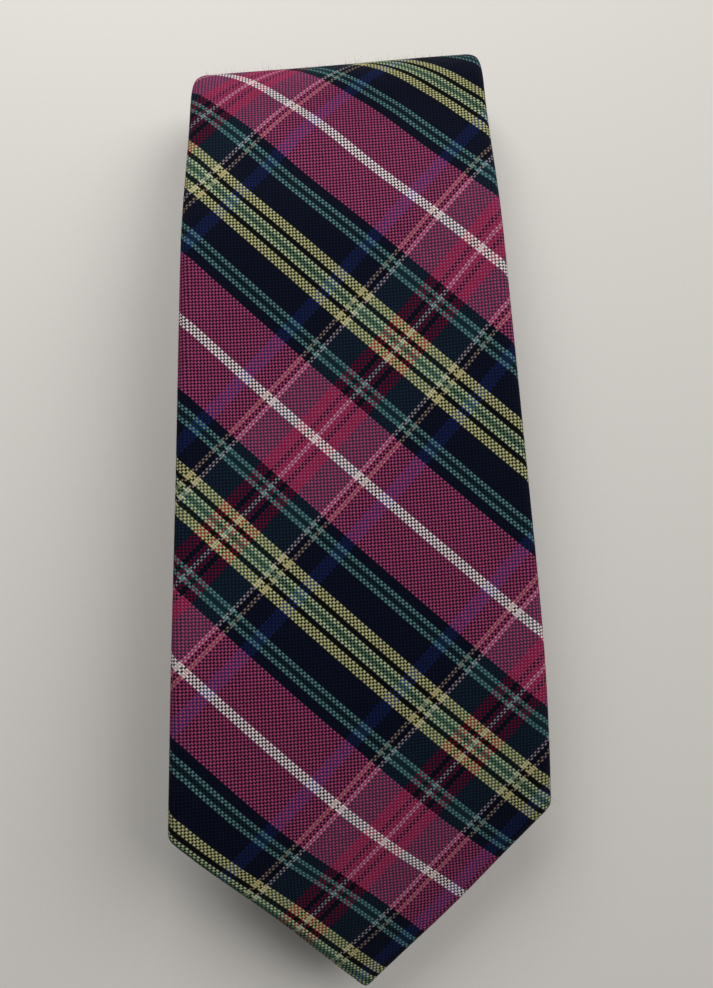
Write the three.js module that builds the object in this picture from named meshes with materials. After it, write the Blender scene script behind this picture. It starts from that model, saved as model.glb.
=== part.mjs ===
// A tartan wool necktie, folded into a flat roll with its front blade on top.
//
// The tie is described once, unrolled, as a distance s from the front tip to the tail tip:
// how wide it is there, and how far its back edges stand apart. The same s then runs along
// the folded route, a flat spiral in the YZ plane, and every long piece is swept along it.
// Millimetres, +Z up, origin at the middle of the box's bottom, front tip towards -Y.

import * as THREE from 'three';

// ---------- driving dimensions ----------

const tieLength = 1530;
const frontWidth = 89;          // across the front blade's shoulders
const neckWidth = 36;
const tailWidth = 48;           // across the tail blade's shoulders
const frontTaper = 700;         // front shoulders to the neck
const tailTaper = 400;          // neck to the tail shoulders

const clothThickness = 0.5;
const interliningThickness = 1.6;
const tippingThickness = 0.3;
const clearance = 0.3;          // between pieces that touch on the real tie
const seamGap = 1.0;            // between the two back edges, where the slip stitch runs
const threadThickness = 0.4;

const frontHem = 11;            // turned back along the front tip's edges
const tailHem = 7;
const frontOpening = 110;       // front tip to the bar tack that closes the back
const tailOpening = 62;
const tippingOverlap = 10;      // tipping carried on above the opening
const tipInset = 7;             // interlining and tipping stop short of the tip
const frontSeam = 724;          // bias seam, front blade to neck
const neckPieceLength = 340;

const layerCount = 8;           // an even number, so that the front blade ends on top
const layerGap = 0.4;
const keeperRoom = 1.2;         // extra room under the front blade for the keeper loop
const droopRadius = 60;         // where the front blade bends down past the roll
const droopAngle = THREE.MathUtils.degToRad(20);
const droopStraight = 36;       // the tip's straight stretch below that bend
const tailSetback = 12;         // the last run stops this far short of the fold
const hingeSetback = 4;         // the front blade lifts about a line just before the roll

const keeperWidth = 12;         // along the tie
const keeperLength = 42;        // across the tie
const keeperThickness = 0.6;
const keeperStandoff = 0.35;    // the middle of the loop stands this much further out
const keeperPlace = 152;        // front tip to the loop's lower edge
const labelThickness = 0.3;
const makerLabelSize = [38, 17];
const careLabelSize = [16, 12];
const labelSpacing = 5;
const tackWidth = 1.2;
const frontTackLength = 8;
const tailTackSetback = 3;      // into the tail's opening, from its point
const loopTackLength = 3;

const arcSteps = 10;            // facets in each half turn of the roll
const edgeSteps = 4;            // facets around each folded side edge

// ---------- worked out from them ----------

const innerHalf = interliningThickness / 2 + clearance;
const outerHalf = innerHalf + clothThickness;
const layerThickness = 2 * outerHalf;
const layerPitch = layerThickness + layerGap;
const thinInterlining = interliningThickness - tippingThickness - clearance;
const frontTip = frontWidth / 2;
const tailTip = tailWidth / 2;
const tipHalfWidth = outerHalf + seamGap / 2 + 0.1;
const neckStart = frontTip + frontTaper;
const neckEnd = tieLength - tailTip - tailTaper;
const tailSeam = frontSeam + neckPieceLength;

const clamp01 = (t) => Math.min(1, Math.max(0, t));

// Straight lines between [s, value] knots.
function along(knots, s) {
  for (let i = 1; i < knots.length; i++) {
    const [s0, v0] = knots[i - 1];
    const [s1, v1] = knots[i];
    if (s <= s1) return v0 + (v1 - v0) * clamp01((s - s0) / (s1 - s0));
  }
  return knots[knots.length - 1][1];
}

const widthKnots = [
  [0, tipHalfWidth],
  [frontTip, frontWidth / 2],
  [neckStart, neckWidth / 2],
  [neckEnd, neckWidth / 2],
  [tieLength - tailTip, tailWidth / 2],
  [tieLength, tipHalfWidth],
];
const halfWidth = (s) => along(widthKnots, s);

// Half the distance between the two back edges: nearly closed by the slip stitch, and
// spread into a pointed opening at each tip, where the tipping shows.
const frontSpread = frontWidth / 2 - frontHem * Math.SQRT2;
const tailSpread = tailWidth / 2 - tailHem * Math.SQRT2;
const gapKnots = [
  [0, seamGap / 2],
  [frontHem * Math.SQRT2, seamGap / 2],
  [frontTip, frontSpread],
  [frontOpening, seamGap / 2],
  [tieLength - tailOpening, seamGap / 2],
  [tieLength - tailTip, tailSpread],
  [tieLength - tailHem * Math.SQRT2, seamGap / 2],
  [tieLength, seamGap / 2],
];
const halfGap = (s) => along(gapKnots, s);

// ---------- the folded route ----------

// The layers are wound inwards: top, bottom, second from top, second from bottom, ...
function layerHeights() {
  const heights = [];
  for (let run = 0; run < layerCount; run++) {
    const fromTop = run % 2 === 0;
    const level = fromTop ? layerCount - 1 - run / 2 : (run - 1) / 2;
    heights.push(outerHalf + level * layerPitch + (run === 0 ? keeperRoom : 0));
  }
  return heights;
}

const heights = layerHeights();
const foldRadii = heights.slice(1).map((height, i) => Math.abs(heights[i] - height) / 2);
const foldLength = foldRadii.reduce((sum, radius) => sum + Math.PI * radius, 0);
const droopLength = droopStraight + droopRadius * droopAngle;
const runLength = (tieLength - droopLength - foldLength + tailSetback) / layerCount;

// Steps of the route: a length and the angle turned through on the way.
function routeSteps() {
  const steps = [
    { length: droopStraight, turn: 0 },
    { length: droopRadius * droopAngle, turn: -droopAngle },
    { length: runLength, turn: 0 },
  ];
  foldRadii.forEach((radius, i) => {
    const last = i === foldRadii.length - 1;
    steps.push({ length: Math.PI * radius, turn: -Math.PI });
    steps.push({ length: last ? runLength - tailSetback : runLength, turn: 0 });
  });
  return steps;
}

// Where each step starts: distance, place and heading. The heading is the angle of the
// tie's direction from +Y towards +Z; the face of the cloth is on its left.
function layRoute(steps) {
  const drop = droopStraight * Math.sin(droopAngle) + droopRadius * (1 - Math.cos(droopAngle));
  let place = { s: 0, y: 0, z: heights[0] - drop, heading: droopAngle };
  return steps.map((step) => {
    const start = place;
    place = advance({ ...start, ...step }, step.length);
    return { ...start, ...step };
  });
}

function advance(leg, distance) {
  const { s, y, z, heading, length, turn } = leg;
  const turned = turn * (distance / length);
  if (turn === 0) {
    const dy = distance * Math.cos(heading);
    const dz = distance * Math.sin(heading);
    return { s: s + distance, y: y + dy, z: z + dz, heading };
  }
  const radius = length / turn;
  const dy = radius * (Math.sin(heading + turned) - Math.sin(heading));
  const dz = radius * (Math.cos(heading) - Math.cos(heading + turned));
  return { s: s + distance, y: y + dy, z: z + dz, heading: heading + turned };
}

const route = layRoute(routeSteps());

function placeAt(s) {
  const leg = route.findLast((candidate) => candidate.s <= s + 1e-9) ?? route[0];
  return advance(leg, s - leg.s);
}

// ---------- sweeping a section along the route ----------

// Every distance at which a piece from start to end needs a section of its own. Bends are
// cut at the same places in every piece, so that neighbours keep their clearance.
function stations(start, end, knots) {
  const all = [start, end, ...knots];
  for (const leg of route) {
    const cuts = leg.turn === 0 ? 1 : Math.max(3, Math.ceil((-leg.turn / Math.PI) * arcSteps));
    for (let i = 0; i < cuts; i++) all.push(leg.s + (leg.length * i) / cuts);
  }
  const inside = all.filter((s) => s >= start && s <= end).sort((a, b) => a - b);
  return inside.filter((s, i) => i === 0 || s - inside[i - 1] > 1e-3);
}

// section(s) gives the same number of [across, out] points at every station.
function sweep(start, end, knots, section) {
  const rings = stations(start, end, knots).map((s) => {
    const { y, z, heading } = placeAt(s);
    return section(s).map(([across, out]) => [
      across,
      y - out * Math.sin(heading),
      z + out * Math.cos(heading),
    ]);
  });
  const ringSize = rings[0].length;
  const index = [];
  for (let i = 0; i + 1 < rings.length; i++) {
    for (let j = 0; j < ringSize; j++) {
      const next = (j + 1) % ringSize;
      const a = i * ringSize + j;
      const b = i * ringSize + next;
      index.push(a, b + ringSize, b, a, a + ringSize, b + ringSize);
    }
  }
  capRing(index, section(start), 0, true);
  capRing(index, section(end), (rings.length - 1) * ringSize, false);
  const geometry = new THREE.BufferGeometry();
  geometry.setAttribute('position', new THREE.Float32BufferAttribute(rings.flat(2), 3));
  geometry.setIndex(index);
  geometry.computeVertexNormals();
  return geometry;
}

function capRing(index, points, offset, first) {
  const contour = points.map(([across, out]) => new THREE.Vector2(across, out));
  for (const [a, b, c] of THREE.ShapeUtils.triangulateShape(contour, [])) {
    index.push(offset + a, offset + (first ? b : c), offset + (first ? c : b));
  }
}

// ---------- sections ----------

// The cloth: a flat tube, folded round at both sides and open along the centre back.
function clothSection(s) {
  const flat = halfWidth(s) - outerHalf;
  const gap = Math.min(halfGap(s), flat);
  const side = (radius, sign, from, to) => {
    const points = [];
    for (let i = 0; i <= edgeSteps; i++) {
      const angle = from + ((to - from) * i) / edgeSteps;
      points.push([sign * flat + radius * Math.cos(angle), radius * Math.sin(angle)]);
    }
    return points;
  };
  const quarter = Math.PI / 2;
  return [
    [gap, -outerHalf],
    ...side(outerHalf, 1, -quarter, quarter),
    ...side(outerHalf, -1, quarter, 3 * quarter),
    [-gap, -outerHalf],
    [-gap, -innerHalf],
    ...side(innerHalf, -1, 3 * quarter, quarter),
    ...side(innerHalf, 1, quarter, -quarter),
    [gap, -innerHalf],
  ];
}

const flatSection = (half, low, high) => [[-half, low], [half, low], [half, high], [-half, high]];

// The interlining fills the tube under the face, and is thinner where a tipping lies on it.
const frontTippingEnd = frontOpening + tippingOverlap;
const tailTippingStart = tieLength - tailOpening - tippingOverlap;
const stepLength = 3;
const interliningKnots = [
  [0, thinInterlining],
  [frontTippingEnd + clearance, thinInterlining],
  [frontTippingEnd + clearance + stepLength, interliningThickness],
  [tailTippingStart - clearance - stepLength, interliningThickness],
  [tailTippingStart - clearance, thinInterlining],
  [tieLength, thinInterlining],
];

function interliningSection(s) {
  const top = innerHalf - clearance;
  return flatSection(halfWidth(s) - outerHalf, top - along(interliningKnots, s), top);
}

function tippingSection(s) {
  const low = clearance - innerHalf;
  return flatSection(halfWidth(s) - outerHalf, low, low + tippingThickness);
}

function threadSection(s, across = threadThickness / 2) {
  const middle = -(outerHalf + innerHalf) / 2;
  const half = threadThickness / 2;
  return flatSection(across, middle - half, middle + half);
}

// ---------- materials ----------

const finish = (color, roughness) => new THREE.MeshStandardMaterial({ color, roughness, metalness: 0 });
const tartan = finish(0x4a1e3a, 0.85);
const woolCanvas = finish(0xd8cfbd, 0.95);
const satin = finish(0x141a2c, 0.45);
const thread = finish(0x1a1c30, 0.7);
const labelWeave = finish(0xe4ded2, 0.6);

// ---------- pieces ----------

const necktie = new THREE.Group();

function addPiece(name, geometry, material) {
  const mesh = new THREE.Mesh(geometry, material);
  mesh.name = name;
  necktie.add(mesh);
  return mesh;
}

const hingePlace = droopLength + runLength - hingeSetback;
const halfSplit = clearance / 2;
const widthStops = widthKnots.map(([s]) => s);
const clothStops = [...widthStops, ...gapKnots.map(([s]) => s)];
const interliningStops = [...widthStops, ...interliningKnots.map(([s]) => s)];

const cloth = (name, start, end) =>
  addPiece(name, sweep(start, end, clothStops, clothSection), tartan);
cloth('front_blade_shell', 0, hingePlace - halfSplit);
cloth('front_fold_shell', hingePlace + halfSplit, frontSeam - halfSplit);
cloth('neck_shell', frontSeam + halfSplit, tailSeam - halfSplit);
cloth('tail_blade_shell', tailSeam + halfSplit, tieLength);

const interliningJoin = (frontSeam + tailSeam) / 2;
const interlining = (name, start, end) =>
  addPiece(name, sweep(start, end, interliningStops, interliningSection), woolCanvas);
interlining('front_blade_interlining', tipInset, hingePlace - halfSplit);
interlining('front_fold_interlining', hingePlace + halfSplit, interliningJoin - halfSplit);
interlining('tail_interlining', interliningJoin + halfSplit, tieLength - tipInset);

const tipping = (name, start, end) =>
  addPiece(name, sweep(start, end, widthStops, tippingSection), satin);
tipping('front_tipping', tipInset, frontTippingEnd);
tipping('tail_tipping', tailTippingStart, tieLength - tipInset);

// The slip stitch is one loose thread along the centre back, from bar tack to bar tack.
const slipStitch = (name, start, end) =>
  addPiece(name, sweep(start, end, [], (s) => threadSection(s)), thread);
slipStitch('front_slip_stitch', frontOpening + tackWidth, hingePlace - halfSplit);
slipStitch('fold_slip_stitch', hingePlace + halfSplit, tieLength - tailOpening);

// A flat piece sewn to the back of a straight run: sizes are across and along the tie.
function addToBack(name, start, across, size, thickness, material) {
  const [width, length] = size;
  const { y, z, heading } = placeAt(start + length / 2);
  const out = outerHalf + clearance + thickness / 2;
  const mesh = addPiece(name, new THREE.BoxGeometry(width, length, thickness), material);
  mesh.position.set(across, y + out * Math.sin(heading), z - out * Math.cos(heading));
  mesh.rotation.x = heading;
  return mesh;
}

addToBack('front_bar_tack', frontOpening, 0, [frontTackLength, tackWidth], threadThickness, thread);

// The tail's tack lies between its back edges, where the next layer is pressed against them.
const tailTackPlace = tieLength - tailOpening + tailTackSetback;
const tailTackSection = (s) => threadSection(s, halfGap(s) - clearance);
addPiece('tail_bar_tack', sweep(tailTackPlace, tailTackPlace + tackWidth, [], tailTackSection), thread);

// The keeper loop: a band of the same cloth across the back, bowed out a little so that the
// tail can pass under it, and sewn down at both ends.
function keeperBand() {
  const near = -(outerHalf + clearance);
  const half = keeperLength / 2;
  const outline = new THREE.Shape();
  outline.moveTo(-half, near);
  outline.quadraticCurveTo(0, near - 2 * keeperStandoff, half, near);
  outline.lineTo(half, near - keeperThickness);
  outline.quadraticCurveTo(0, near - keeperThickness - 2 * keeperStandoff, -half, near - keeperThickness);
  outline.closePath();
  return new THREE.ExtrudeGeometry(outline, {
    depth: keeperWidth,
    curveSegments: 8,
    bevelEnabled: false,
  });
}

const keeper = addPiece('keeper_loop', keeperBand(), tartan);
const keeperEnd = placeAt(keeperPlace + keeperWidth);
keeper.position.set(0, keeperEnd.y, keeperEnd.z);
keeper.rotation.x = Math.PI / 2;

const loopTackOffset = keeperLength / 2 + clearance + tackWidth / 2;
for (const [side, sign] of [['left', -1], ['right', 1]]) {
  const start = keeperPlace + (keeperWidth - loopTackLength) / 2;
  const size = [tackWidth, loopTackLength];
  addToBack(`keeper_tack_${side}`, start, sign * loopTackOffset, size, threadThickness, thread);
}

const makerLabelPlace = keeperPlace + keeperWidth + labelSpacing;
addToBack('maker_label_blank', makerLabelPlace, 0, makerLabelSize, labelThickness, labelWeave);
const careLabelPlace = makerLabelPlace + makerLabelSize[1] + labelSpacing;
addToBack('care_label_blank', careLabelPlace, -makerLabelSize[0] / 4, careLabelSize, labelThickness, labelWeave);

// The route starts with the front tip at y = 0; this puts the box's middle at the origin.
const foldReach = route[3].y + foldRadii[0] + outerHalf;
const tipReach = -outerHalf * Math.sin(droopAngle);
necktie.position.y = -(foldReach + tipReach) / 2;

export default necktie;
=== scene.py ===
# A tartan wool necktie, folded into a flat roll with its front blade on top.
#
# The tie is described unrolled, by the distance s from the front tip and the distance x from
# its middle line, and everything on it is laid along the same folded route as the model's.
# Lengths are in millimetres here, and become metres when a mesh is made.

import math

import bmesh
import bpy
import numpy as np
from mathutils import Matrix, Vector


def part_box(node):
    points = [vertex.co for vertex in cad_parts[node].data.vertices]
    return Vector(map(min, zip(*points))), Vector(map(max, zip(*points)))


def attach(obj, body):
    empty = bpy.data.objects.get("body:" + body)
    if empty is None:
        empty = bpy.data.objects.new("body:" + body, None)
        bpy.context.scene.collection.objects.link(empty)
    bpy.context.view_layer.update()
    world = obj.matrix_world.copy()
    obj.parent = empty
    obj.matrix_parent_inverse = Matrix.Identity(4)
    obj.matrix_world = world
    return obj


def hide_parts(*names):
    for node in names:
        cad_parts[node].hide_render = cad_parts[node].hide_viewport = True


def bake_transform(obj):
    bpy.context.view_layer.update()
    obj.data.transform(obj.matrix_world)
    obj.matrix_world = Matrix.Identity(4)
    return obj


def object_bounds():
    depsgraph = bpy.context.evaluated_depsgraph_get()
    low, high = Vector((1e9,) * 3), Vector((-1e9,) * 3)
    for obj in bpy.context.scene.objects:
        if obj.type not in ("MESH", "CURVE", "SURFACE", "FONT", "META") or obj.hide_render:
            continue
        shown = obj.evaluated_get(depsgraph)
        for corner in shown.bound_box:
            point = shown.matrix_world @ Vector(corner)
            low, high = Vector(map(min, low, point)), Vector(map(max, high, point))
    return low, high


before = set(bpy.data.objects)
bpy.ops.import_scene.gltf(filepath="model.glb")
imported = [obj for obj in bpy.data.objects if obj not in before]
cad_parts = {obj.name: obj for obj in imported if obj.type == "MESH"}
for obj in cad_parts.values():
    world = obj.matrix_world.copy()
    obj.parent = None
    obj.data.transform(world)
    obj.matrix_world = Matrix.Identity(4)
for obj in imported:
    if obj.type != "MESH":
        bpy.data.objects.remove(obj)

MM = 0.001
cad_low, cad_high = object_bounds()


# ---------- camera ----------

def add_camera():
    """Above the tie, a little towards its tip, looking almost straight down."""
    data = bpy.data.cameras.new("camera")
    data.sensor_width = 36
    data.lens = 25.98
    data.clip_start = 0.005
    camera = bpy.data.objects.new("camera", data)
    camera.location = (-0.0037, -0.0151, 0.1946)
    camera.rotation_euler = [math.radians(angle) for angle in (5.46, -1.48, -2.49)]
    bpy.context.scene.collection.objects.link(camera)
    bpy.context.scene.camera = camera


add_camera()


# ---------- sizes ----------

TIE_LENGTH = 1530
FRONT_WIDTH = 2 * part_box("front_blade_shell")[1].x / MM
NECK_WIDTH = 36
TAIL_WIDTH = 48
FRONT_TAPER = 700
TAIL_TAPER = 400
FRONT_SEAM = 724
TAIL_SEAM = 1064
FRONT_TIP = FRONT_WIDTH / 2
TAIL_TIP = TAIL_WIDTH / 2

OUTER_HALF = 1.6            # half the thickness of the whole tie
CLOTH = 0.45
EDGE_ROLL = 3.0             # how far the pressed side edges round over
TIP_ROUNDING = 0.8
TIP_HOLLOW = 0.5            # how far the slanting edges of each point bow in
SHOULDER_ROUNDING = 1.4
TIP_ROLL = 2.5              # over this distance the tie thins out to its pressed point

FRONT_HEM = 11 * math.sqrt(2)
TAIL_HEM = 7 * math.sqrt(2)
FRONT_OPENING = 110
TAIL_OPENING = 62
RIGHT_LAP = 1.2             # how far the right back flap passes the centre line
LEFT_LAP = 6                # and the left one, which lies under it
FLAP_TUCK = 0.5
CORE_FACE = 1.1             # the interlining, from the middle of the tie towards its face
CORE_BACK = -0.5
TIPPING = 0.12
TIP_INSET = 7

LAYERS = 8
LAYER_PITCH = 2 * OUTER_HALF + 0.4
KEEPER_ROOM = 1.2
DROOP_RADIUS = 60
DROOP_ANGLE = math.radians(20)
DROOP_STRAIGHT = 36
TAIL_SETBACK = 12

THREAD_PITCH = 0.56
STACK_HEIGHT = cad_high.z / MM
FOLD_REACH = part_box("front_fold_shell")[1].y / MM
MIDDLE = 3.75               # the tie bends and leans about this distance below the box's middle
BEND_REACH = 114            # and this far each way
FIRST_FOLD = 3              # the first fold's number among the legs of the route


# ---------- the folded route ----------

def layer_heights():
    """The middle height of each run, from the one with the front tip inwards."""
    heights = []
    for run in range(LAYERS):
        from_top = run % 2 == 0
        level = LAYERS - 1 - run // 2 if from_top else (run - 1) // 2
        heights.append(OUTER_HALF + level * LAYER_PITCH + (KEEPER_ROOM if run == 0 else 0))
    return heights


def build_route():
    """Rows of distance, y, z, heading, length and turn, one for each straight or bend."""
    heights = layer_heights()
    radii = [abs(a - b) / 2 for a, b in zip(heights, heights[1:])]
    droop_length = DROOP_STRAIGHT + DROOP_RADIUS * DROOP_ANGLE
    run = (TIE_LENGTH - droop_length - math.pi * sum(radii) + TAIL_SETBACK) / LAYERS
    steps = [(DROOP_STRAIGHT, 0), (DROOP_RADIUS * DROOP_ANGLE, -DROOP_ANGLE), (run, 0)]
    for i, radius in enumerate(radii):
        setback = TAIL_SETBACK if i == len(radii) - 1 else 0
        steps += [(math.pi * radius, -math.pi), (run - setback, 0)]
    drop = DROOP_STRAIGHT * math.sin(DROOP_ANGLE) + DROOP_RADIUS * (1 - math.cos(DROOP_ANGLE))
    s, y, z, heading = 0.0, 0.0, heights[0] - drop, DROOP_ANGLE
    legs = []
    for length, turn in steps:
        legs.append((s, y, z, heading, length, turn))
        if turn == 0:
            y += length * math.cos(heading)
            z += length * math.sin(heading)
        else:
            radius = length / turn
            y += radius * (math.sin(heading + turn) - math.sin(heading))
            z += radius * (math.cos(heading) - math.cos(heading + turn))
            heading += turn
        s += length
    legs = np.array(legs)
    legs[:, 1] += FOLD_REACH - (legs[FIRST_FOLD, 1] + radii[0] + OUTER_HALF)
    return legs


LEGS = build_route()
FOLD_START = LEGS[FIRST_FOLD, 0]
FRONT_END = FOLD_START + LEGS[FIRST_FOLD, 4]     # the front blade's cloth ends below the fold


def route(s):
    """y, z and heading of the tie's middle at each distance s."""
    legs = LEGS[np.clip(np.searchsorted(LEGS[:, 0], s + 1e-9) - 1, 0, len(LEGS) - 1)]
    start, y, z, heading, length, turn = np.moveaxis(legs, -1, 0)
    along = s - start
    bends = turn != 0
    radius = np.where(bends, length / np.where(bends, turn, 1), 0)
    angle = heading + turn * along / length
    flat_y = along * np.cos(heading)
    flat_z = along * np.sin(heading)
    bent_y = radius * (np.sin(angle) - np.sin(heading))
    bent_z = radius * (np.cos(heading) - np.cos(angle))
    return y + np.where(bends, bent_y, flat_y), z + np.where(bends, bent_z, flat_z), angle


def smooth(t):
    t = np.clip(t, 0, 1)
    return t * t * (3 - 2 * t)


def hill(t, middle, reach):
    """1 at the middle, falling away to almost nothing at twice the reach on either side."""
    return np.exp(-((t - middle) / reach) ** 2)


def settle(x, y, z):
    """How the soft stack lies: all layers lean, sag and bend together, so none meets another.

    The top sags before the tip and towards the fold, and leans sideways near the tip. The whole
    stack bows to one side, and the fold and the tip are a little askew.
    """
    up = z / STACK_HEIGHT
    along = (y + MIDDLE) / BEND_REACH
    past_middle = along - 0.12
    lean = 0.016 * past_middle - 0.140 * np.minimum(past_middle, 0) ** 2
    sag = 3.83 * hill(y, -75.7, 26) + 6.0 * smooth((y - 61) / 45)
    ripple = 0.16 * np.sin(x / 9 + y / 23) + 0.14 * np.sin(y / 15 - x / 17 + 1)
    bow = 0.63 * (1 - along ** 2) + 1.22 * along ** 3 + hill(y, -96, 11)
    skew = 0.052 * smooth((y - 36) / 60) + 0.014 * smooth((-y - 44) / 60)
    return x + bow, y + skew * x, z + up * (x * lean - sag + ripple)


def place(x, s, out):
    """The point x across, s along and out from the middle surface, in metres."""
    x, s, out = np.broadcast_arrays(*[np.asarray(v, float) for v in (x, s, out)])
    y, z, heading = route(s)
    point = settle(x, y - out * np.sin(heading), z + out * np.cos(heading))
    return np.stack(point, axis=-1) * MM


# ---------- outlines of the flat tie ----------

def smooth_min(a, b, rounding):
    blend = np.maximum(rounding - abs(a - b), 0) / rounding
    return np.minimum(a, b) - blend * blend * rounding / 4


def half_width(s):
    """Straight tapers between the shoulders and the neck, with a right-angled point at each end."""
    taper = (FRONT_WIDTH - NECK_WIDTH) / 2 / FRONT_TAPER
    knots = [0, FRONT_TIP + FRONT_TAPER, TIE_LENGTH - TAIL_TIP - TAIL_TAPER, TIE_LENGTH - TAIL_TIP]
    widths = [FRONT_TIP + taper * FRONT_TIP, NECK_WIDTH / 2, NECK_WIDTH / 2, TAIL_TIP]
    sides = np.interp(s, knots, widths)
    tips = np.minimum(s, TIE_LENGTH - s)
    shoulder = np.where(s < TIE_LENGTH / 2, FRONT_TIP, TAIL_TIP)
    hollow = TIP_HOLLOW * np.sin(math.pi * np.clip(tips / shoulder, 0, 1))
    point = np.sqrt(np.maximum(tips * tips - TIP_ROUNDING ** 2, 0.01)) - hollow
    return smooth_min(sides, point, SHOULDER_ROUNDING)


def half_thickness(s):
    """The tie's half thickness, which rounds off at both tips."""
    from_tip = np.minimum(s, TIE_LENGTH - s) - TIP_ROUNDING
    u = np.clip(from_tip / TIP_ROLL + 0.1, 0, 1)
    return OUTER_HALF * np.sqrt(1 - (1 - u) ** 2)


def half_gap(s):
    """Half the pointed opening between the back flaps, and 0 where they overlap."""
    front = [0, FRONT_HEM, FRONT_TIP, FRONT_OPENING]
    tail = [TIE_LENGTH - d for d in (TAIL_OPENING, TAIL_TIP, TAIL_HEM, 0)]
    front_gap = [0.3, 0.3, FRONT_TIP - FRONT_HEM, 0]
    tail_gap = [0, TAIL_TIP - TAIL_HEM, 0.3, 0.3]
    return np.interp(s, front + tail, front_gap + tail_gap)


def closed_back(s):
    """1 where the flaps overlap, falling to 0 inside each opening."""
    from_front = (s - FRONT_OPENING + 10) / 10
    from_tail = (TIE_LENGTH - TAIL_OPENING + 10 - s) / 10
    return smooth(from_front) * smooth(from_tail)


# ---------- meshes ----------

def stations(start, end, step=1.8):
    """Distances from start to end, close together in the bends, the crease and the tips."""
    cuts = [start, end]
    for leg_start, _, _, _, length, turn in LEGS:
        pieces = math.ceil(max(length / step, abs(turn) / math.radians(9)))
        cuts += [leg_start + length * i / pieces for i in range(pieces)]
    for tip in (0, TIE_LENGTH):
        inwards = 1 if tip == 0 else -1
        cuts += [tip + inwards * (TIP_ROUNDING + 0.15 * 1.35 ** i) for i in range(11)]
        shoulder = FRONT_TIP if tip == 0 else TAIL_TIP
        cuts += [tip + inwards * (shoulder + 0.5 * i) for i in range(-6, 7)]
    cuts += list(FOLD_START + np.arange(-18, 4, 0.8))
    cuts = np.array(sorted(cut for cut in cuts if start <= cut <= end))
    apart = np.diff(cuts, prepend=-1) > 0.12
    apart[cuts == end] = True
    return np.unique(cuts[apart])


def make_mesh(name, points, faces, plan):
    """An object of that mesh, with each point's place on the flat cloth as its plan."""
    mesh = bpy.data.meshes.new(name)
    mesh.from_pydata(points.tolist(), [], faces)
    attribute = mesh.attributes.new("plan", "FLOAT_VECTOR", "POINT")
    attribute.data.foreach_set("vector", np.asarray(plan, np.float32).ravel())
    cleaned = bmesh.new()
    cleaned.from_mesh(mesh)
    bmesh.ops.recalc_face_normals(cleaned, faces=cleaned.faces)
    for edge in cleaned.edges:
        edge.smooth = edge.calc_face_angle(0) < math.radians(50)
    for face in cleaned.faces:
        face.smooth = True
    cleaned.to_mesh(mesh)
    cleaned.free()
    piece = bpy.data.objects.new(name, mesh)
    bpy.context.scene.collection.objects.link(piece)
    return piece


def sheet_solid(name, face, back, plan):
    """A closed sheet between two grids of points, with a rim round its four sides."""
    rows, columns = face.shape[:2]
    count = rows * columns
    index = np.arange(count).reshape(rows, columns)
    quads = np.stack([index[:-1, :-1], index[1:, :-1], index[1:, 1:], index[:-1, 1:]], -1)
    quads = quads.reshape(-1, 4)
    border = np.concatenate([index[0], index[1:, -1], index[-1, -2::-1], index[-2:0:-1, 0]])
    following = np.roll(border, -1)
    rim = np.stack([border, following, following + count, border + count], -1)
    faces = np.concatenate([quads, quads[:, ::-1] + count, rim]).tolist()
    points = np.concatenate([face.reshape(-1, 3), back.reshape(-1, 3)])
    flat = np.asarray(plan, float).reshape(-1, 3)
    return make_mesh(name, points, faces, np.concatenate([flat, flat]))


def ring_solid(name, rings, plan):
    """A closed tube through rings of points, with a flat cap at each end."""
    count, size = rings.shape[:2]
    index = np.arange(count * size).reshape(count, size)
    after = np.roll(index, -1, axis=1)
    quads = np.stack([index[:-1], after[:-1], after[1:], index[1:]], -1).reshape(-1, 4)
    faces = quads.tolist() + [index[0].tolist(), index[-1, ::-1].tolist()]
    return make_mesh(name, rings.reshape(-1, 3), faces, np.asarray(plan, float).reshape(-1, 3))


def thread_tubes(name, paths, radius, sides=7, plans=None):
    """One mesh of round threads, each through its own list of points in metres.

    The plan is the place along and around the thread, unless each thread has a plan of its own.
    """
    points, faces, plan = [], [], []
    turn = np.linspace(0, 2 * math.pi, sides, endpoint=False)
    for number, path in enumerate(paths):
        path = np.asarray(path, float)
        heading = np.gradient(path, axis=0)
        heading /= np.linalg.norm(heading, axis=1)[:, None] + 1e-12
        start = len(points)
        side = np.cross(heading[0], (0.3, 0.2, 1.0))
        for i, centre in enumerate(path):
            side = side - heading[i] * (side @ heading[i])
            side /= np.linalg.norm(side)
            other = np.cross(heading[i], side)
            at_end = i in (0, len(path) - 1)
            reach = radius * MM * (0.55 if at_end else 1)
            for angle in turn:
                outwards = side * math.cos(angle) + other * math.sin(angle)
                points.append(centre + reach * outwards)
                plan.append((i, angle / (2 * math.pi), 0) if plans is None else plans[number])
        for i in range(len(path) - 1):
            for j in range(sides):
                near = start + i * sides
                k = (j + 1) % sides
                faces.append((near + j, near + k, near + sides + k, near + sides + j))
        faces.append(tuple(range(start + sides - 1, start - 1, -1)))
        faces.append(tuple(range(start + (len(path) - 1) * sides, start + len(path) * sides)))
    return make_mesh(name, np.array(points), faces, plan)


# ---------- the cloth and its thread counts ----------

BLADE_HALF_WIDTH = 45
BLADE_HALF_LENGTH = 115
WARP_AT_TIP = 181.5         # the thread numbers at the front tip, but for the wandering
WEFT_AT_TIP = 159.4


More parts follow.
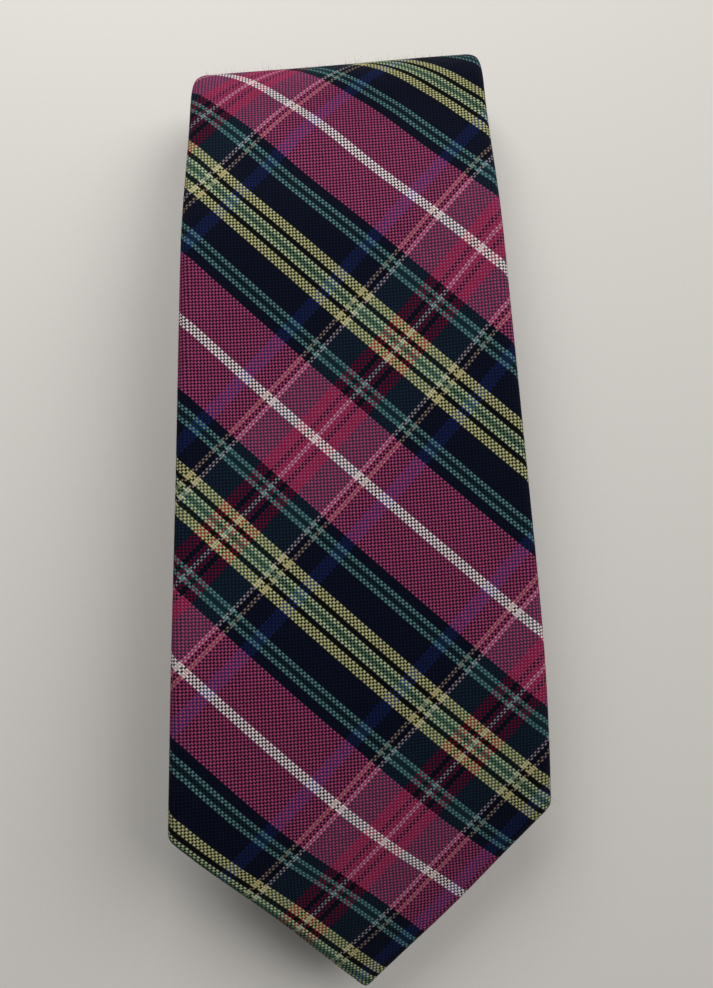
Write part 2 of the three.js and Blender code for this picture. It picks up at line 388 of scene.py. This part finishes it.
def thread_plan(x, s, piece_shift=(0, 0)):
    """Thread numbers at a point of the flat cloth, counted from the two setts' centre lines.

    The blade was cut on the bias and pressed by hand, so its grain wanders by a few millimetres.
    At the first fold it is pulled along the tie by up to 8 mm.
    """
    across = x / BLADE_HALF_WIDTH
    along = np.clip((s - BLADE_HALF_LENGTH) / BLADE_HALF_LENGTH, -1, 1.15)
    shift_x = -0.36 + 0.25 * along + 0.75 * along ** 2 + across * (0.23 * along - 0.16)
    shift_s = 0.95 + 1.85 * along - 2.64 * along ** 2 - across * (0.44 * along + 1.40)
    fold = 8 * smooth((s - 216) / 27) + 2.2 * across * smooth((s - 185) / 40)
    sides = 0.9 + (1.5 - 0.6 * across) * hill(s + 20 * across, 182, 25)
    middle = 1.2 * hill(s, 212, 9) * hill(across, -0.1, 0.6)
    tip = 0.8 * across * hill(s, 50, 20) + 0.6 * hill(s, 30, 12)
    grain_x = x + shift_x
    grain_s = s + shift_s + fold - sides * across ** 2 - middle - tip
    diagonal = THREAD_PITCH * math.sqrt(2)
    warp = WARP_AT_TIP + (grain_x - grain_s) / diagonal + piece_shift[0]
    weft = WEFT_AT_TIP - (grain_x + grain_s) / diagonal + piece_shift[1]
    return np.stack([warp, weft, np.zeros_like(warp)], -1)


FACE_COLUMNS = 19
SIDE_COLUMNS = 8
BACK_COLUMNS = 15


def half_section(s, depth, flap_end, tuck):
    """From the centre line over the face, round the side and back along the flap.

    Gives the place across, the distance out, the place across once the flap is turned level with
    the face, a mark of the points past the side fold, and where that fold is.
    """
    thick = half_thickness(s)[:, None]
    width = half_width(s)[:, None]
    edge = np.minimum(EDGE_ROLL, 0.9 * width)
    depth = np.minimum(depth, 0.6 * np.minimum(thick, edge))
    flat = width - edge
    arc = math.pi / 2 * np.sqrt((edge ** 2 + thick ** 2) / 2)
    face = np.linspace(0, 1, FACE_COLUMNS)[None, :-1]
    side = np.linspace(0.5, -0.5, 2 * SIDE_COLUMNS + 1)[None, :] * math.pi
    back = np.linspace(0, 1, BACK_COLUMNS + 1)[None, 1:] ** 0.85
    back_x = flat + (flap_end[:, None] - flat) * back
    dip = tuck[:, None] * smooth((9 - back_x) / 5)
    turned = 1 - abs(side) / (math.pi / 2)
    x = np.concatenate([flat * face, flat + (edge - depth) * np.cos(side), back_x], 1)
    out = np.concatenate([
        (thick - depth) + 0 * face,
        (thick - depth) * np.sin(side),
        dip - (thick - depth),
    ], 1)
    developed = np.concatenate([flat * face, flat + arc * turned, back_x], 1)
    behind = np.concatenate([0 * face, (side < 0) * 1.0, 1 + 0 * back], 1)
    return x, out, developed, behind * (developed <= flat + arc), flat + arc


def mirror_flap(s, developed, behind, fold):
    """Where a point lay on the flat cloth before the sides were folded round to the back."""
    slope = np.gradient(fold[:, 0], s)[:, None]
    over = (developed - fold) * behind
    scale = 2 / (1 + slope ** 2)
    return developed - scale * over, s[:, None] + scale * over * slope


def cloth_tube(name, start, end, piece_shift=(0, 0)):
    """A length of the tie's cloth, folded round at both sides and lapped at the centre back.

    Returns the piece, the widest cut and the area of the cloth that it takes.
    """
    s = stations(start, end)
    closed = closed_back(s)
    gap = half_gap(s)
    tuck = FLAP_TUCK * closed
    shells = []
    for depth in (0, CLOTH):
        right = half_section(s, depth, gap - RIGHT_LAP * closed, 0 * s)
        left = half_section(s, depth, gap - LEFT_LAP * closed, tuck)
        x = np.concatenate([-left[0][:, :0:-1], right[0]], 1)
        out = np.concatenate([left[1][:, :0:-1], right[1]], 1)
        shells.append(place(x, s[:, None], out))
        if depth == 0:
            right_plan = mirror_flap(s, *right[2:])
            left_plan = mirror_flap(s, *left[2:])
            flat_x = np.concatenate([-left_plan[0][:, :0:-1], right_plan[0]], 1)
            flat_s = np.concatenate([left_plan[1][:, :0:-1], right_plan[1]], 1)
    piece = sheet_solid(name, shells[0], shells[1], thread_plan(flat_x, flat_s, piece_shift))
    cut = flat_x[:, -1] - flat_x[:, 0]
    area = np.sum((cut[1:] + cut[:-1]) / 2 * np.diff(s))
    return piece, cut.max() * MM, area * MM * MM


# ---------- materials ----------

class Graph:
    """A material's node tree, with a short call for each kind of node."""

    def __init__(self, name, **finish):
        self.material = bpy.data.materials.new(name)
        self.material.use_nodes = True
        self.tree = self.material.node_tree
        self.shader = self.tree.nodes["Principled BSDF"]
        for socket, value in finish.items():
            self.shader.inputs[socket.replace("_", " ")].default_value = value

    def add(self, kind, **settings):
        node = self.tree.nodes.new("ShaderNode" + kind)
        for key, value in settings.items():
            setattr(node, key, value)
        return node

    def feed(self, socket, value):
        if isinstance(value, bpy.types.NodeSocket):
            self.tree.links.new(value, socket)
        else:
            socket.default_value = value

    def math(self, operation, *values, clamp=False):
        node = self.add("Math", operation=operation, use_clamp=clamp)
        for socket, value in zip(node.inputs, values):
            self.feed(socket, value)
        return node.outputs[0]

    def vector_math(self, operation, *values, scale=None):
        node = self.add("VectorMath", operation=operation)
        for socket, value in zip(node.inputs, values):
            self.feed(socket, value)
        if scale is not None:
            self.feed(node.inputs["Scale"], scale)
        return node.outputs[0]

    def times(self, value, factor):
        return self.math("MULTIPLY", value, factor)

    def ridges(self, value):
        """Rounded ridges from 0 to 1, one for each pi of the value."""
        return self.math("ABSOLUTE", self.math("SINE", value))

    def mix(self, factor, first, second):
        node = self.add("Mix", data_type="RGBA")
        for socket, value in ((0, factor), (6, first), (7, second)):
            self.feed(node.inputs[socket], value)
        return node.outputs[2]

    def ramp(self, position, stops, interpolation="LINEAR"):
        node = self.add("ValToRGB")
        node.color_ramp.interpolation = interpolation
        elements = node.color_ramp.elements
        while len(elements) > 1:
            elements.remove(elements[-1])
        elements[0].position = stops[0][0]
        elements[0].color = (*stops[0][1], 1)
        for at, colour in stops[1:]:
            elements.new(at).color = (*colour, 1)
        self.feed(node.inputs[0], position)
        return node.outputs[0]

    def plan(self):
        """The two numbers of the piece's plan, and the plan itself as a vector."""
        attribute = self.add("Attribute", attribute_name="plan")
        separate = self.add("SeparateXYZ")
        self.feed(separate.inputs[0], attribute.outputs["Vector"])
        return separate.outputs[0], separate.outputs[1], attribute.outputs["Vector"]

    def vector(self, *parts):
        node = self.add("CombineXYZ")
        for socket, value in zip(node.inputs, parts):
            self.feed(socket, value)
        return node.outputs[0]

    def noise(self, where, scale, detail=2.0):
        node = self.add("TexNoise")
        self.feed(node.inputs["Vector"], where)
        node.inputs["Scale"].default_value = scale
        node.inputs["Detail"].default_value = detail
        return node.outputs[0]

    def bump(self, height, distance, strength=1.0):
        node = self.add("Bump")
        node.inputs["Strength"].default_value = strength
        node.inputs["Distance"].default_value = distance * MM
        self.feed(node.inputs["Height"], height)
        self.feed(self.shader.inputs["Normal"], node.outputs[0])

    def colour(self, value):
        self.feed(self.shader.inputs["Base Color"], value)


# Linear red, green and blue.
DYES = {
    "white": (0.97, 0.82, 0.86),
    "magenta": (0.385, 0.060, 0.172),
    "crimson": (0.50, 0.014, 0.080),
    "navy": (0.0034, 0.0062, 0.0240),
    "royal": (0.020, 0.055, 0.320),
    "black": (0.0045, 0.0045, 0.0035),
    "bottle": (0.0065, 0.028, 0.038),
    "slate": (0.026, 0.085, 0.115),
    "teal": (0.098, 0.228, 0.235),
    "green": (0.117, 0.220, 0.135),
    "pale": (0.445, 0.560, 0.330),
    "yellow": (0.520, 0.520, 0.250),
    "gold": (0.780, 0.580, 0.420),
}

# Half of each sett, as dye and number of threads, from the centre line to the far pivot.
WARP_SETT = [
    ("white", 1), ("crimson", 2), ("black", 2), ("crimson", 5), ("slate", 13),
    ("white", 2), ("black", 2), ("gold", 2), ("navy", 8), ("royal", 6), ("navy", 26),
]
WEFT_SETT = [
    ("white", 2), ("magenta", 20), ("navy", 4), ("teal", 2), ("bottle", 2), ("teal", 2),
    ("navy", 12), ("yellow", 4), ("black", 2), ("pale", 2), ("green", 1),
]
WEFT_COVER = 0.2            # how much the fuller weft threads spread over the warp
SUNKEN_LIGHT = 0.28         # light that reaches the sunken warp between black threads
BOUNCED_LIGHT = 0.9         # and that the threads of the weft beside it throw on to it
PALEST_BOUNCE = 0.5         # the palest threads throw no more than a dye of this strength


def sett_colour(graph, number, sett):
    """The dye of each numbered thread, in a sett that reverses at both of its ends."""
    half = sum(count for _, count in sett)
    reversed_number = graph.math("PINGPONG", number, half)
    stops, start = [], 0
    for dye, count in sett:
        stops.append((start / half, DYES[dye]))
        start += count
    return graph.ramp(graph.math("DIVIDE", reversed_number, half), stops, "CONSTANT")


def tartan():
    """Plain-woven worsted: fuller weft threads over a finer warp, which shows as small dots."""
    graph = Graph("tartan", Roughness=0.85, Specular_IOR_Level=0.06, Sheen_Weight=0.02)
    warp, weft, plan = graph.plan()
    wander = graph.math("MULTIPLY_ADD", graph.noise(plan, 0.35), 0.3, -0.15)
    warp = graph.math("ADD", warp, wander)
    weft = graph.math("SUBTRACT", weft, wander)
    warp_number = graph.math("ADD", graph.math("FLOOR", warp), 0.5)
    weft_number = graph.math("ADD", graph.math("FLOOR", weft), 0.5)

    warp_wave = graph.math("SINE", graph.times(warp, math.pi))
    weft_wave = graph.math("SINE", graph.times(weft, math.pi))
    crossing = graph.times(warp_wave, weft_wave)
    warp_round = graph.math("POWER", graph.math("ABSOLUTE", warp_wave), 0.6)
    weft_round = graph.math("POWER", graph.math("ABSOLUTE", weft_wave), 0.6)
    warp_height = graph.times(graph.math("ADD", warp_round, crossing), 0.5)
    weft_height = graph.times(graph.math("SUBTRACT", weft_round, crossing), 0.5)
    height = graph.math("MAXIMUM", warp_height, weft_height)
    lead = graph.math("SUBTRACT", graph.math("SUBTRACT", warp_height, weft_height), WEFT_COVER)
    warp_shows = graph.math("MULTIPLY_ADD", lead, 5, 0.5, clamp=True)

    warp_dye = sett_colour(graph, warp_number, WARP_SETT)
    weft_dye = sett_colour(graph, weft_number, WEFT_SETT)
    # Painted shade and painted bounced light: the sunken warp's colour is dimmed, and tinted by the
    # light that the weft beside it throws on to it.
    thrown = graph.vector_math("MINIMUM", weft_dye, (PALEST_BOUNCE,) * 3)
    lit = graph.vector_math("MULTIPLY_ADD", thrown, (BOUNCED_LIGHT,) * 3, (SUNKEN_LIGHT,) * 3)
    sunken = graph.vector_math("MULTIPLY", warp_dye, lit)
    colour = graph.mix(warp_shows, weft_dye, sunken)

    warp_run = graph.vector(graph.times(warp_number, 3.7), graph.times(weft, 0.12), 0)
    weft_run = graph.vector(graph.times(warp, 0.12), graph.times(weft_number, 3.7), 9)
    slub = graph.mix(warp_shows, graph.noise(weft_run, 1.0, 3), graph.noise(warp_run, 1.0, 3))
    fibres = graph.noise(plan, 7.0, 3)
    # Painted shade: the cloth's colour darkens in the hollows between the threads, following their
    # height; slub and fibres then vary the tone at random.
    shade = graph.math("MULTIPLY_ADD", height, 0.95, 0.14)
    shade = graph.times(shade, graph.math("MULTIPLY_ADD", slub, 0.6, 0.7))
    shade = graph.times(shade, graph.math("MULTIPLY_ADD", fibres, 0.5, 0.75))
    graph.colour(graph.vector_math("SCALE", colour, scale=shade))
    graph.bump(graph.math("MULTIPLY_ADD", fibres, 0.25, height), 0.10, 0.7)
    return graph.material


def satin():
    """Dark lining satin: long floats along the tie, with faint diagonal lines."""
    graph = Graph("satin", Roughness=0.38, Specular_IOR_Level=0.5, Sheen_Weight=0.1)
    across, along, _ = graph.plan()
    float_run = graph.vector(graph.times(across, 6), graph.times(along, 0.5), 0)
    floats = graph.noise(float_run, 1.0, 3)
    slant = graph.math("ADD", graph.times(across, 2), along)
    diagonal = graph.math("SINE", graph.times(slant, 9))
    tone = graph.math("MULTIPLY_ADD", diagonal, 0.06, floats)
    graph.colour(graph.ramp(tone, [(0.25, (0.006, 0.010, 0.030)), (0.75, (0.022, 0.032, 0.075))]))
    graph.bump(tone, 0.03, 0.6)
    return graph.material


def wool_canvas():
    """Loose undyed interlining, with heavy threads both ways."""
    graph = Graph("canvas", Roughness=0.95, Specular_IOR_Level=0.1, Sheen_Weight=0.2)
    across, along, plan = graph.plan()
    threads = [graph.ridges(graph.times(way, 3.2)) for way in (across, along)]
    weave = graph.times(*threads)
    tone = graph.math("ADD", graph.times(weave, 0.6), graph.times(graph.noise(plan, 3), 0.4))
    graph.colour(graph.ramp(tone, [(0.1, (0.36, 0.31, 0.23)), (0.8, (0.72, 0.66, 0.55))]))
    graph.bump(tone, 0.2)
    return graph.material


def sewing_thread():
    """Dark twisted thread: two plies wind round each other."""
    graph = Graph("thread", Roughness=0.55, Specular_IOR_Level=0.35)
    along, around, _ = graph.plan()
    twist = graph.math("ADD", graph.times(along, 2.2), graph.times(around, 2 * math.pi))
    ply = graph.ridges(twist)
    graph.colour(graph.ramp(ply, [(0.0, (0.008, 0.009, 0.018)), (1.0, (0.035, 0.036, 0.070))]))
    graph.bump(ply, 0.08)
    return graph.material


def label_weave():
    """Blank woven label: a fine cream weave with a darker woven edge."""
    graph = Graph("label", Roughness=0.5, Specular_IOR_Level=0.4, Sheen_Weight=0.1)
    across, along, plan = graph.plan()
    ribs = graph.ridges(graph.times(along, 60))
    fine = graph.ridges(graph.times(across, 110))
    tone = graph.math("MULTIPLY_ADD", ribs, 0.4, graph.times(fine, 0.3))
    tone = graph.math("ADD", tone, graph.times(graph.noise(plan, 6), 0.3))
    side = graph.math("GREATER_THAN", graph.math("ABSOLUTE", across), 0.95)
    end = graph.math("GREATER_THAN", graph.math("ABSOLUTE", along), 0.88)
    cream = graph.ramp(tone, [(0.1, (0.42, 0.38, 0.31)), (0.9, (0.74, 0.69, 0.60))])
    graph.colour(graph.mix(graph.math("MAXIMUM", side, end), cream, (0.30, 0.24, 0.15, 1)))
    graph.bump(tone, 0.05)
    return graph.material


LOOKS = {
    "tartan_wool": tartan(),
    "wool_interlining": wool_canvas(),
    "satin_tipping": satin(),
    "sewing_thread": sewing_thread(),
    "label_weave": label_weave(),
}


def finish_piece(piece, slot, body, nodes=(), crosses_hinge=False):
    """Gives a piece the material for its slot, hides the model's parts that it stands for, and
    hangs it from its body, or bakes its place into its mesh when it crosses the hinge.
    """
    piece.data.materials.append(LOOKS[slot])
    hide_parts(*nodes)
    if crosses_hinge:
        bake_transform(piece)
    else:
        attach(piece, body)


# ---------- the shell ----------

TIP_START = TIP_ROUNDING + 0.15


def add_cloth(name, start, end, nodes, piece_shift=(0, 0), crosses_hinge=False):
    piece, width, area = cloth_tube(name, start, end, piece_shift=piece_shift)
    finish_piece(piece, "tartan_wool", "folded_tie", nodes, crosses_hinge)
    flat = (width, (end - start) * MM)
    area = min(area, width * flat[1])


add_cloth(
    "front_blade_cloth", TIP_START, FRONT_END, ["front_blade_shell"],
    crosses_hinge=True,
)
add_cloth("front_fold_cloth", FRONT_END, FRONT_SEAM, ["front_fold_shell"])
add_cloth(
    "neck_cloth", FRONT_SEAM, TAIL_SEAM, ["neck_shell"], (41, 17),
)
add_cloth(
    "tail_blade_cloth", TAIL_SEAM, TIE_LENGTH - TIP_START, ["tail_blade_shell"], (-23, 60),
)


# ---------- interlining and tipping ----------

def band(name, start, end, half, face, back, step=1.8, columns=13):
    """A flat band inside the tie: half(s) wide each way, from back to face."""
    s = stations(start, end, step)
    x = half(s)[:, None] * np.linspace(-1, 1, columns)[None, :]
    along = s[:, None] + 0 * x
    plan = np.stack([x, along, 0 * x], -1)
    lift = face(x, along), back(x, along)
    return sheet_solid(name, place(x, along, lift[0]), place(x, along, lift[1]), plan)


CREASE = FOLD_START - 6.5   # the blade creases here when it is lifted
CREASE_PINCH = 0.9
CREASE_REACH = 8


def core_half(s):
    from_tip = np.minimum(s, TIE_LENGTH - s)
    return np.maximum(np.minimum(half_width(s) - 2.2, from_tip - TIP_INSET + 1), 0.5)


def add_interlining(name, start, end, nodes, crosses_hinge=False):
    def face(x, s):
        return CORE_FACE - CREASE_PINCH * hill(s, CREASE, CREASE_REACH) + 0 * x

    piece = band(name, start, end, core_half, face, lambda x, s: CORE_BACK + 0 * x)
    finish_piece(piece, "wool_interlining", "folded_tie", nodes, crosses_hinge)
    declare_band(start, end, core_half)


def declare_band(start, end, half):
    """Works out the band's width at 60 places along it, and keeps nothing."""
    s = np.linspace(start, end, 60)
    widths = 2 * half(s)


def add_tipping(name, tip, opening, hem, body, nodes):
    """The satin seen between the back flaps: it fills the opening and runs on under the hems."""
    inwards = 1 if tip == 0 else -1
    start = tip + inwards * (TIP_INSET + 2)
    end = tip + inwards * (opening + 4)
    low, high = min(start, end), max(start, end)

    def half(s):
        return np.maximum(np.minimum(half_width(s) - 3.2, half_gap(s) + hem / 2), 0.5)

    def face(x, s):
        room = np.maximum(half_gap(s) - 0.8, 0.01)
        puff = 0.5 * smooth(1 - abs(x) / room) * smooth(half_gap(s) / 8)
        return CORE_BACK - 0.03 - puff

    piece = band(name, low, high, half, face, lambda x, s: face(x, s) - TIPPING, step=2, columns=25)
    finish_piece(piece, "satin_tipping", body, nodes)
    declare_band(low, high, half)


INTERLINING_JOIN = (FRONT_SEAM + TAIL_SEAM) / 2
TAIL_CORE_END = TIE_LENGTH - TIP_INSET
add_interlining(
    "front_interlining_core", TIP_INSET, FRONT_END, ["front_blade_interlining"], crosses_hinge=True
)
add_interlining("fold_interlining_core", FRONT_END, INTERLINING_JOIN, ["front_fold_interlining"])
add_interlining("tail_interlining_core", INTERLINING_JOIN, TAIL_CORE_END, ["tail_interlining"])
add_tipping("front_tipping_satin", 0, FRONT_OPENING, FRONT_HEM, "front_blade", ["front_tipping"])
add_tipping(
    "tail_tipping_satin", TIE_LENGTH, TAIL_OPENING, TAIL_HEM, "folded_tie", ["tail_tipping"]
)


# ---------- stitches and tacks ----------

THREAD_RADIUS = 0.17
BACK = -OUTER_HALF
STITCH_SPACING = 9
TACK_WIDTH = 1.2


def slip_stitch(s):
    """From the right flap's folded edge down on to the left flap."""
    across = np.array([0.4, -0.5, -1.3, -1.9, -2.7])
    along = np.array([0, 0.5, 1.2, 1.9, 2.4])
    lift = np.array([0.06, 0.22, 0.10, -0.20, -0.32])
    return place(across, s + along, BACK - lift)


def add_slip_stitches(name, start, end, nodes, crosses_hinge=False):
    paths = [slip_stitch(s) for s in np.arange(start, end - 3, STITCH_SPACING)]
    piece = thread_tubes(name, paths, THREAD_RADIUS)
    finish_piece(piece, "sewing_thread", "folded_tie", nodes, crosses_hinge)


STITCHES_END = TIE_LENGTH - TAIL_OPENING
add_slip_stitches(
    "front_slip_threads", FRONT_OPENING + 4, FRONT_END, ["front_slip_stitch"], crosses_hinge=True
)
add_slip_stitches("fold_slip_threads", FRONT_END + 3, STITCHES_END, ["fold_slip_stitch"])


def add_bar_tack(name, x, s, length, lift, body, node, turned=False):
    """A close zigzag of thread, length across the tie, or along it if turned."""
    count = 2 * round(length / 0.45) + 1
    run = np.repeat(np.linspace(-length / 2, length / 2, count), 2)
    side = TACK_WIDTH / 2 * np.tile([1, -1], count)
    rise = 0.08 * np.cos(np.arange(2 * count) * math.pi)
    across, along = (side, run) if turned else (run, side)
    path = place(x + across, s + along, BACK - lift + rise)
    piece = thread_tubes(name, [path], THREAD_RADIUS)
    finish_piece(piece, "sewing_thread", body, [node])


KEEPER_PLACE = 152
KEEPER_WIDTH = 12
KEEPER_HALF = (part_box("keeper_loop")[1].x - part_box("keeper_loop")[0].x) / 2 / MM
KEEPER_MIDDLE = KEEPER_PLACE + KEEPER_WIDTH / 2
TAIL_TACK = TIE_LENGTH - TAIL_OPENING + 3 + TACK_WIDTH / 2
FRONT_TACK = FRONT_OPENING + TACK_WIDTH / 2
add_bar_tack("front_tack_thread", 0, FRONT_TACK, 8, 0.2, "front_blade", "front_bar_tack")
add_bar_tack("tail_tack_thread", 0, TAIL_TACK, 3, -0.1, "folded_tie", "tail_bar_tack")
for side, sign in (("left", -1), ("right", 1)):
    add_bar_tack(
        "keeper_thread_" + side, sign * (KEEPER_HALF - 0.4), KEEPER_MIDDLE, 8, 0.95,
        "front_blade", "keeper_tack_" + side, turned=True,
    )


# ---------- keeper loop and labels ----------

def add_keeper():
    """A flat tube of the same cloth across the back, bowed out so that the tail passes under."""
    thick, bow = 0.36, 0.5
    x = np.linspace(-KEEPER_HALF, KEEPER_HALF, 45)[:, None]
    angle = np.linspace(0, 2 * math.pi, 40, endpoint=False)[None, :]
    flatness = 0.35
    along = np.sign(np.cos(angle)) * abs(np.cos(angle)) ** flatness * KEEPER_WIDTH / 2
    raised = np.sign(np.sin(angle)) * abs(np.sin(angle)) ** 0.8 * thick
    lift = 0.06 + thick + bow * (1 - (x / KEEPER_HALF) ** 2)
    rings = place(x, KEEPER_MIDDLE + along + 0 * x, BACK - lift - raised)
    around = np.where(np.sin(angle) < 0, 2 * KEEPER_WIDTH - along, along)
    plan = thread_plan(x + 0 * angle, around + 0 * x, (37, 12))
    piece = ring_solid("keeper_band", rings, plan)
    finish_piece(piece, "tartan_wool", "front_blade", ["keeper_loop"])


add_keeper()


def add_label(name, x, s, width, length, node):
    """A blank woven label with its two ends turned under, and a stitch at each corner."""
    u = np.linspace(-1, 1, 41)[None, :]
    v = np.linspace(-1, 1, 25)[:, None]
    across = u * width / 2 + 0 * v
    along = v * length / 2 + 0 * u
    turned_under = 0.16 * smooth((abs(across) - width / 2 + 4) / 0.8)
    wave = 0.05 * np.sin(across / 4) * np.cos(along / 5) + 0.06
    near = BACK - 0.04 - wave
    far = near - 0.22 - turned_under - 0.05 * smooth(4 * (1 - abs(v)))
    plan = np.stack([across / width, along / length, 0 * across], -1) * 2
    shells = [place(x + across, s + along, out) for out in (near, far)]
    piece = sheet_solid(name, *shells, plan)
    finish_piece(piece, "label_weave", "front_blade", [node])
    stitch_across = np.array([0, 0.5, 1.3, 1.9]) + width / 2 - 1.4
    stitch_along = np.array([0, 0.2, 0.5, 0.7]) + length / 2 - 1.0
    stitch_out = BACK - np.array([0.40, 0.62, 0.58, 0.10])
    corners = []
    for side in (-1, 1):
        for end in (-1, 1):
            corners.append(place(x + side * stitch_across, s + end * stitch_along, stitch_out))
    stitches = thread_tubes(name + "_stitches", corners, THREAD_RADIUS)
    finish_piece(stitches, "sewing_thread", "front_blade")


MAKER_LABEL = (38, 17)
CARE_LABEL = (16, 12)
LABEL_SPACING = 5
MAKER_PLACE = KEEPER_PLACE + KEEPER_WIDTH + LABEL_SPACING + MAKER_LABEL[1] / 2
CARE_PLACE = MAKER_PLACE + MAKER_LABEL[1] / 2 + LABEL_SPACING + CARE_LABEL[1] / 2
add_label("maker_label_cloth", 0, MAKER_PLACE, *MAKER_LABEL, "maker_label_blank")
add_label("care_label_cloth", -MAKER_LABEL[0] / 4, CARE_PLACE, *CARE_LABEL, "care_label_blank")


# ---------- loose fibres ----------

FOLD_FIBRES = 420
FOLD_FIBRE_LENGTH = 1.1
EDGE_FIBRES = 320
EDGE_FIBRE_LENGTH = 0.8
FIBRE_RADIUS = 0.016
FUZZY_FOLD = (222, 244)     # the stretch of the tie that shows along the fold
FUZZY_EDGES = (6, 240)


def add_fuzz():
    """Short wool fibres that stand off the fold, the sides and the slanting edges."""
    chance = np.random.default_rng(11)
    paths, plans = [], []

    def grow(x, s, out, towards, longest):
        root = place(x, s, out)
        away = place(x + towards[0], s + towards[1], out + towards[2]) - root
        away /= np.linalg.norm(away)
        drift = chance.normal(0, 0.75, 3)
        curl = chance.normal(0, 0.9, 3)
        length = longest * (0.2 + 0.8 * chance.random() ** 2) * MM
        steps = np.linspace(0, 1, 5)[:, None]
        paths.append(root + length * (steps * (away + drift * 0.6) + steps ** 2 * curl * 0.5))
        plans.append(thread_plan(np.float64(x), np.float64(s)))

    for _ in range(FOLD_FIBRES):
        s = chance.uniform(*FUZZY_FOLD)
        x = chance.uniform(-1, 1) * (half_width(s) - 2)
        grow(x, s, OUTER_HALF, (0, 0, 1), FOLD_FIBRE_LENGTH)
    for _ in range(EDGE_FIBRES):
        s = chance.uniform(0.5, 1) * chance.uniform(*FUZZY_EDGES)
        turn = chance.uniform(-1.2, 1.3)
        side = chance.choice([-1, 1])
        width = float(half_width(s)) - EDGE_ROLL
        x = side * (width + EDGE_ROLL * math.cos(turn))
        towards = (side * math.cos(turn), 0, math.sin(turn))
        grow(x, s, OUTER_HALF * math.sin(turn), towards, EDGE_FIBRE_LENGTH)
    piece = thread_tubes("wool_fuzz", paths, FIBRE_RADIUS, sides=3, plans=plans)
    finish_piece(piece, "tartan_wool", "folded_tie", crosses_hinge=True)


add_fuzz()


# ---------- stage and light ----------

def plain_material(name, colour, roughness):
    graph = Graph(name, Roughness=roughness, Specular_IOR_Level=0.2)
    where = graph.add("NewGeometry").outputs["Position"]
    grain = graph.noise(where, 900, 2)
    low = [channel * 0.985 for channel in colour]
    graph.colour(graph.ramp(grain, [(0.3, low), (0.7, colour)]))
    return graph.material


def add_floor():
    mesh = bpy.data.meshes.new("floor")
    reach = 3
    corners = [(-reach, -reach, 0), (reach, -reach, 0), (reach, reach, 0), (-reach, reach, 0)]
    mesh.from_pydata(corners, [], [(0, 1, 2, 3)])
    mesh.materials.append(plain_material("floor_paper", (0.80, 0.785, 0.76), 0.8))
    floor = bpy.data.objects.new("floor", mesh)
    bpy.context.scene.collection.objects.link(floor)


def add_area_light(name, location, target, size, power, colour):
    data = bpy.data.lights.new(name, "AREA")
    data.shape = "RECTANGLE"
    data.size, data.size_y = size
    data.energy = power
    data.color = colour
    light = bpy.data.objects.new(name, data)
    light.location = location
    aim = Vector(target) - Vector(location)
    light.rotation_euler = aim.to_track_quat("-Z", "Y").to_euler()
    bpy.context.scene.collection.objects.link(light)


def add_world():
    world = bpy.data.worlds.new("studio")
    world.use_nodes = True
    background = world.node_tree.nodes["Background"]
    background.inputs["Color"].default_value = (1.0, 0.98, 0.96, 1)
    background.inputs["Strength"].default_value = 0.13
    bpy.context.scene.world = world


add_floor()
add_world()
LIT_POINT = (0, 0.02, 0)
LIGHT_COLOUR = (1.0, 0.98, 0.95)
# A large window high on the right, and a small low panel beyond the fold.
add_area_light("window", (1.5, 0.9, 1.5), LIT_POINT, (1.6, 1.6), 28, LIGHT_COLOUR)
add_area_light("low_panel", (-0.10, 0.40, 0.38), LIT_POINT, (0.35, 0.3), 1.6, LIGHT_COLOUR)

bpy.context.scene.view_settings.view_transform = "Standard"
